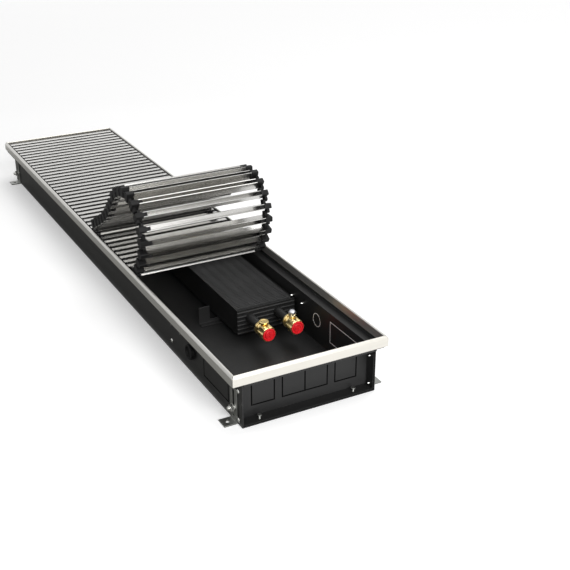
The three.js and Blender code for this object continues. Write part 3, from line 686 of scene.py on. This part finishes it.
def plug_parts(x, links):
    """Nylon at both ends of a slat: a block under the top plate with bevelled edges, a
    tongue that goes into the channel, and the links."""
    half, tongue = SLAT_WIDE / 2, SLAT_WIDE / 2 - SLAT_WALL - PLUG_PLAY
    foot, top = -SLAT_TALL, -SLAT_WALL - PLATE_PLAY
    outline = [[x - half, foot + PLUG_CHAMFER], [x - half + PLUG_CHAMFER, foot],
               [x + half - PLUG_CHAMFER, foot], [x + half, foot + PLUG_CHAMFER],
               [x + half, top], [x - half, top]]
    parts = []
    for sign in (-1, 1):
        inner = SLAT_HALF - PLUG_LONG + PLUG_PLAY
        parts.append(carried(outline, "y", *sorted((sign * inner, sign * SLAT_HALF))))
        reach_in = sorted((sign * (inner - TONGUE_LONG), sign * inner))
        parts.append(block((x - tongue, x + tongue), reach_in, (foot + TONGUE_RAISED, top)))
        parts += [link(x, reach, layer, sign) for reach, layer in links]
    return parts


def placed(parts, pivot, tilt):
    """Turns parts about the Y axis, nose of the slat up by the tilt, and sets them on a hinge."""
    turn = np.array([[math.cos(tilt), 0, -math.sin(tilt)], [0, 1, 0],
                     [math.sin(tilt), 0, math.cos(tilt)]])
    lift = np.array([0, 0, HINGE_DROP])
    return [((points + lift) @ turn.T + pivot, faces) for points, faces in parts]


print("slats:", FLAT_COUNT, "lie flat and", len(pivots), "are folded, pitch", round(PITCH, 2))

# %% [markdown]
# The lying slats are one row of metal and one of nylon. Each folded slat is
# set on its own hinge with its own tilt and rides on its own body, so it
# follows the grille when it is unrolled.

# %% Slats: the flat bed and the folded ones
bed_x = -PITCH * (np.arange(FLAT_COUNT) + 0.5)
AHEAD, BEHIND = (PITCH / 2, 0), (-PITCH / 2, 1)
metal_parts = [part for x in bed_x for part in profile_part(x)]
bed_links = [(AHEAD, BEHIND)] * (FLAT_COUNT - 1) + [(AHEAD,)]
nylon_parts = [part for x, links in zip(bed_x, bed_links) for part in plug_parts(x, links)]
mount(make("slats_lying", placed(metal_parts, pivots[0], 0.0), SLAT_METAL),
      "tray_unit", "slat_aluminium", "grille_flat_slats")
mount(make("slat_ends_lying", placed(nylon_parts, pivots[0], 0.0), BLACK_NYLON),
      "tray_unit", "black_rubber")
for number, (pivot, tilt) in enumerate(zip(pivots, tilts)):
    label = FLAT_COUNT + 1 + number
    body = f"slat_{label}"
    links = (AHEAD, BEHIND) if number < len(pivots) - 1 else (BEHIND,)
    metal = placed(profile_part(PITCH / 2), pivot, tilt)
    nylon = placed(plug_parts(PITCH / 2, links), pivot, tilt)
    mount(make(f"slat_profile_{label}", metal, SLAT_METAL), body, "slat_aluminium",
          f"grille_slat_{label}")
    mount(make(f"slat_ends_{label}", nylon, BLACK_NYLON), body, "black_rubber")

# %% [markdown]
# The exchanger is a pack of thin aluminium fins, black lacquered, pressed on
# a water pipe that turns round at the far end. Real fins stand about 3 mm
# apart and are corrugated to stir the air. They are drawn 5 mm apart and
# thicker, so that they still show as lines at this size.

# %% Exchanger
pack_low, pack_high = low_high("exchanger_fin_pack")
FIN_PITCH = 5.0
FIN_THICK = 1.2
FIN_FIRST, FIN_SPARE = 1.5, 2
WAVES, WAVE_POINTS = 6, 4
WAVE_DEPTH = 1.2
RIBS, RIB_ROWS = 6, 90
RIB_DEEP, RIB_SEAT, RIB_ROUND = 0.9, 1.0, 0.6
CASING_ROUND, BRACKET_ROUND = 0.3, 0.4


def fins():
    """Fin k is a sheet at x = k * pitch, which swings by depth * sin(waves * 2 pi * share)
    across the pack."""
    count = int((pack_high[0] - pack_low[0] - FIN_SPARE) / FIN_PITCH)
    columns = WAVES * WAVE_POINTS + 1
    share_y = np.linspace(0, 1, columns)
    wave = WAVE_DEPTH * np.sin(share_y * WAVES * 2 * np.pi)
    y = pack_low[1] + share_y * (pack_high[1] - pack_low[1])
    z = np.array([pack_low[2], pack_high[2]])
    start = pack_low[0] + FIN_FIRST + FIN_PITCH * np.arange(count)
    side = np.array([0, FIN_THICK])
    x = start[:, None, None, None] + side[None, :, None, None] + wave[None, None, None, :]
    grid = np.stack(np.broadcast_arrays(x, y, z[None, None, :, None]), -1)
    one = grid_faces(2, columns)
    sheet = 2 * columns
    rim = np.stack([np.arange(columns - 1), np.arange(1, columns),
                    sheet + np.arange(1, columns), sheet + np.arange(columns - 1)], -1)
    ends = np.array([[0, sheet, sheet + columns, columns],
                     [columns - 1, 2 * columns - 1, sheet + 2 * columns - 1, sheet + columns - 1]])
    fin = np.concatenate([one, one[:, ::-1] + sheet, rim, rim[:, ::-1] + columns, ends])
    faces = (fin[None] + (np.arange(count) * 2 * sheet)[:, None, None]).reshape(-1, 4)
    return grid.reshape(-1, 3), [faces]


piece = make("corrugated_fins", [fins()], BLACK_LACQUER)
mount(piece, "tray_unit", "black_fins", "exchanger_fin_pack")


def ribbed_sheet(node, outward):
    """The end sheet: its outer face swings out by depth * max(0, sin(ribs * 2 pi * height
    share)) ** roundness."""
    low, high = low_high(node)
    z = np.linspace(low[2], high[2], RIB_ROWS)
    swing = np.sin((z - low[2]) / (high[2] - low[2]) * RIBS * 2 * np.pi)
    rib = RIB_DEEP * np.clip(swing, 0, 1) ** RIB_ROUND
    face = (high[0] if outward > 0 else low[0]) - outward * RIB_SEAT
    outer = face + outward * rib
    inner = outer - outward * SHEET
    outline = np.concatenate([np.stack([outer, z], -1), np.stack([inner, z], -1)[::-1]])
    return carried(outline, "y", low[1], high[1])


for end, outward in (("near", 1), ("far", -1)):
    ribbed = ribbed_sheet(f"exchanger_{end}_sheet", outward)
    piece = make(f"ribbed_end_{end}", [ribbed], BLACK_COAT)
    mount(piece, "tray_unit", "black_coat", f"exchanger_{end}_sheet")
for side in ("left", "right"):
    piece = dress(f"exchanger_{side}_side", f"casing_{side}", BLACK_COAT, CASING_ROUND)
    mount(piece, "tray_unit", "black_coat", f"exchanger_{side}_side")
for end in ("near", "far"):
    piece = dress(f"exchanger_bracket_{end}", f"bracket_{end}", BLACK_COAT, BRACKET_ROUND)
    mount(piece, "tray_unit", "black_coat", f"exchanger_bracket_{end}")
pipe = dress("exchanger_pipe", "water_pipe", BLACK_COAT, 0)
mount(pipe, "tray_unit", "black_coat", "exchanger_pipe")

# %% [markdown]
# The connections are turned brass with a six-sided nut for a spanner. A red
# cap in the mouth of the nut closes each one for transport. The left
# connection has a flat brass disc on its branch, the right one a knurled
# nickel-plated vent. Each cap has a deep ring groove and, in the middle, four
# pads that leave a sunk cross between them.

# %% Valves and caps
NUT_LONG = 9.0
NUT_LIP, NUT_MOUTH = 1.4, 5.2
NUT_LOBES, NUT_FLATS = 6, 0.07
CAP_RADIUS, CAP_DEEP = 10.7, 5.0
GROOVE_DEEP, HUB_DEEP, HUB_SUNK = 3.5, 2.6, 0.1
PAD_RADIUS, PAD_COUNT, CROSS_HALF = 4.6, 4, 0.8
BRASS_ROUND = 0.4
KNURLS, KNURL_DEPTH = 24, 0.035
DOME = 3.4


def valve(side):
    """A brass body with its collar, nut and branch, and the red cap in front of it."""
    low, high = low_high(f"valve_body_{side}")
    cap_low, cap_high = low_high(f"valve_cap_{side}")
    y, z = (cap_low[1] + cap_high[1]) / 2, (cap_low[2] + cap_high[2]) / 2
    start, end = low[0], high[0]
    body = turned([[0, start], [10.7, start], [11.5, start + 0.8], [11.5, start + 4.2],
                   [10.7, start + 5], [8.9, start + 5.2], [8.4, start + 6], [8.4, end - 11],
                   [9.6, end - 10.4], [9.6, end - 8], [0, end - 8]], "x", (y, z), 48)
    front = cap_high[0]
    lip, mouth = front - NUT_LIP, front - NUT_MOUTH
    lobed = [0, 0, NUT_FLATS, NUT_FLATS, 0, 0, 0, 0]
    nut = turned([[0, end - NUT_LONG], [11.4, end - NUT_LONG], [12.4, end - NUT_LONG + 0.8],
                  [12.4, front - 2.2], [11.7, lip], [10.9, lip], [10.9, mouth], [0, mouth]],
                 "x", (y, z), 72, NUT_LOBES, lobed)
    branch_x = sum(corner[0] for corner in low_high("vent_knob")) / 2
    branch = turned([[0, z], [5.5, z], [5.5, high[2] - 3.2], [4.6, high[2] - 2.6],
                     [4.6, high[2] - 1.2], [5.5, high[2] - 0.8], [5.5, high[2]], [0, high[2]]],
                    "z", (branch_x, y), 40)
    piece = make(f"brass_body_{side}", [body, nut, branch], BRASS, BRASS_ROUND)
    mount(piece, "tray_unit", "valve_brass", f"valve_body_{side}")

    back_face, groove, hub = front - CAP_DEEP, front - GROOVE_DEEP, front - HUB_SUNK
    shape = turned([[0, back_face], [CAP_RADIUS, back_face], [CAP_RADIUS, front - 0.5],
                    [10.2, front], [9.0, front], [8.7, groove], [6.9, groove],
                    [6.6, front - 0.5], [6.1, hub], [5.2, hub], [5.0, front - HUB_DEEP],
                    [0, front - HUB_DEEP]], "x", (y, z), 56)
    pads = []
    for quarter in range(PAD_COUNT):
        outline = np.concatenate([[[CROSS_HALF, CROSS_HALF]], arc((0, 0), PAD_RADIUS, 10, 80, 8)])
        turn = 2 * np.pi * quarter / PAD_COUNT
        spin = np.array([[np.cos(turn), np.sin(turn)], [-np.sin(turn), np.cos(turn)]])
        pads.append(carried(outline @ spin + [y, z], "x", front - HUB_DEEP - HUB_SUNK, hub))
    piece = make(f"red_cap_{side}", [shape, *pads], RED_CAP)
    mount(piece, f"cap_{side}", "red_plastic", f"valve_cap_{side}")


for side in ("left", "right"):
    valve(side)
low, high = low_high("bleed_plug")
centre = (low + high) / 2
radius = (high[0] - low[0]) / 2
disc = turned([[0, low[2]], [radius - 0.5, low[2]], [radius, low[2] + 0.5],
               [radius, high[2] - 0.6], [radius - 0.7, high[2]], [radius - 2.5, high[2]],
               [radius - 3, high[2] - 0.5], [0, high[2] - 0.5]], "z", centre[:2], 48)
mount(make("brass_disc", [disc], BRASS), "tray_unit", "valve_brass", "bleed_plug")
low, high = low_high("vent_knob")
centre = (low + high) / 2
radius = (high[0] - low[0]) / 2
neck = turned([[0, low[2]], [4.2, low[2]], [4.2, low[2] + 2.2], [0, low[2] + 2.2]],
              "z", centre[:2], 32)
grip = turned([[0, low[2] + 2], [radius * 0.96, low[2] + 2], [radius * 0.96, high[2] - 3.6],
               [0, high[2] - 3.6]], "z", centre[:2], 96, KNURLS, KNURL_DEPTH)
dome = arc((radius - 3.8, high[2] - DOME), DOME, 0, 90, 6)
crown = turned([[0, high[2] - 3.8], [radius - 0.4, high[2] - 3.8], *dome, [0, high[2]]],
               "z", centre[:2], 48)
mount(make("knurled_vent", [neck, grip, crown], NICKEL), "vent", "vent_nickel", "vent_knob")

# %% [markdown]
# Each corner has a slotted steel bracket that slides on a stud with a washer
# and a nut, so the tray can be set level with the floor, and a screw that
# stands in the foot flange of the end plate.

# %% Feet, studs and screws
THREAD_PITCH, THREAD_DEEP = 1.0, 0.4
STUD_RADIUS, STUD_PROUD, STUD_NUT = 2.9, 10, 10.0
WASHER_THICK, WASHER_HOLE, WASHER_RADIUS = 1.2, 3.1, 6.4
NUT_GAP, NUT_TOP = 1.3, 5.2
SCREW_RADIUS = 1.9
FOOT_ROUND = 0.4


def thread(axis, centre, start, end, radius):
    """A threaded shank: the radius zigzags once per pitch between crest and root."""
    way = math.copysign(1, end - start)
    turns = int(abs(end - start) / THREAD_PITCH)
    place = start + way * THREAD_PITCH / 2 * np.arange(2 * turns + 1)
    depth = np.where(np.arange(2 * turns + 1) % 2 == 0, radius, radius - THREAD_DEEP)
    rings = np.concatenate([[[0, place[0]]], np.stack([depth, place], -1), [[0, place[-1]]]])
    return turned(rings, axis, centre, 20)


def corner_pieces(end, side):
    """One corner: the slotted foot, its stud with washer and nut, and the levelling screw."""
    name = f"{end}_{side}"
    out = -1 if side == "left" else 1
    piece = dress(f"foot_{name}", f"slotted_foot_{name}", ZINC, FOOT_ROUND)
    mount(piece, f"foot_{name}", "zinc_steel", f"foot_{name}")
    low, high = low_high(f"foot_bolt_{name}")
    x, z = (low[0] + high[0]) / 2, (low[2] + high[2]) / 2
    tip = low[1] if out < 0 else high[1]
    root_end = high[1] if out < 0 else low[1]
    seat = tip - out * STUD_PROUD
    face = seat + out * WASHER_THICK
    washer = turned([[WASHER_HOLE, seat], [WASHER_RADIUS, seat], [WASHER_RADIUS, face],
                     [WASHER_HOLE, face], [WASHER_HOLE, seat]], "y", (x, z), 40)
    nut = carried(hexagon(STUD_NUT, (x, z)), "y", seat + out * NUT_GAP, seat + out * NUT_TOP)
    shank = thread("y", (x, z), root_end, tip, STUD_RADIUS)
    piece = make(f"stud_{name}", [washer, nut, shank], BARE_STEEL)
    mount(piece, "tray_unit", "zinc_steel", f"foot_bolt_{name}")
    low, high = low_high(f"jack_screw_{name}")
    x, y = (low[0] + high[0]) / 2, (low[1] + high[1]) / 2
    shank = thread("z", (x, y), low[2], high[2] - 1.5, SCREW_RADIUS)
    head = turned([[0, high[2] - 1.8], [3.2, high[2] - 1.8], [3.6, high[2] - 1.4],
                   [3.4, high[2] - 0.5], [2.6, high[2]], [0, high[2]]], "z", (x, y), 32)
    piece = make(f"levelling_screw_{name}", [shank, head], ZINC)
    mount(piece, "tray_unit", "zinc_steel", f"jack_screw_{name}")


for end in ("near", "far"):
    for side in ("left", "right"):
        corner_pieces(end, side)

# %% [markdown]
# Small self-tapping screws hold the end plates and the brackets to the walls.
# Their heads lie outside and their tips show as bright points inside. The
# round cable port on the left is closed by a soft plug with a dished face.

# %% Wall screws and port plug
BRACKET_SCREWS = [(342, 51), (377, 51), (341, 20)]
PLATE_SCREW_X, PLATE_SCREWS = 582.6, [55, 8]
PLATE_INNER, PLATE_TIP = 106.8, 3.5
PLUG_RIM = -WALL - 0.3


def wall_screw(x, z, out, inner, tip=5.0):
    """A pan head outside the wall and a tapered tip inside it."""
    head = turned([[0, out * WALL], [3.2, out * WALL], [3.4, out * (WALL + 0.5)],
                   [2.4, out * (WALL + 1.6)], [0, out * (WALL + 1.9)]], "y", (x, z), 28)
    point = turned([[0, out * inner], [1.7, out * inner], [1.6, out * (inner - tip + 1.5)],
                    [0.5, out * (inner - tip)], [0, out * (inner - tip)]], "y", (x, z), 16)
    return [head, point]


screws = []
for out in (-1, 1):
    for x, z in BRACKET_SCREWS:
        screws += wall_screw(x, z, out, WALL - SHEET)
    for way in (-1, 1):
        for z in PLATE_SCREWS:
            screws += wall_screw(way * PLATE_SCREW_X, z, out, PLATE_INNER, PLATE_TIP)
mount(make("wall_screws", screws, BARE_STEEL), "tray_unit", "zinc_steel")

low, high = low_high("cable_grommet")
x, z = (low[0] + high[0]) / 2, (low[2] + high[2]) / 2
face = low[1]
plug = turned([[0, high[1]], [9.6, high[1]], [10.2, high[1] - 1], [10.2, PLUG_RIM],
               [12.4, PLUG_RIM], [13, -WALL - 0.9], [12.6, face + 1.2], [11.6, face],
               [9.6, face], [8.4, face + 2.6], [0, face + 3.2]], "y", (x, z), 56)
mount(make("port_plug", [plug], SOFT_BLACK), "tray_unit", "black_rubber", "cable_grommet")

# %% [markdown]
# Last, the box around the dressed model is worked out, in metres.

# %% Sizes, and the end
low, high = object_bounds()
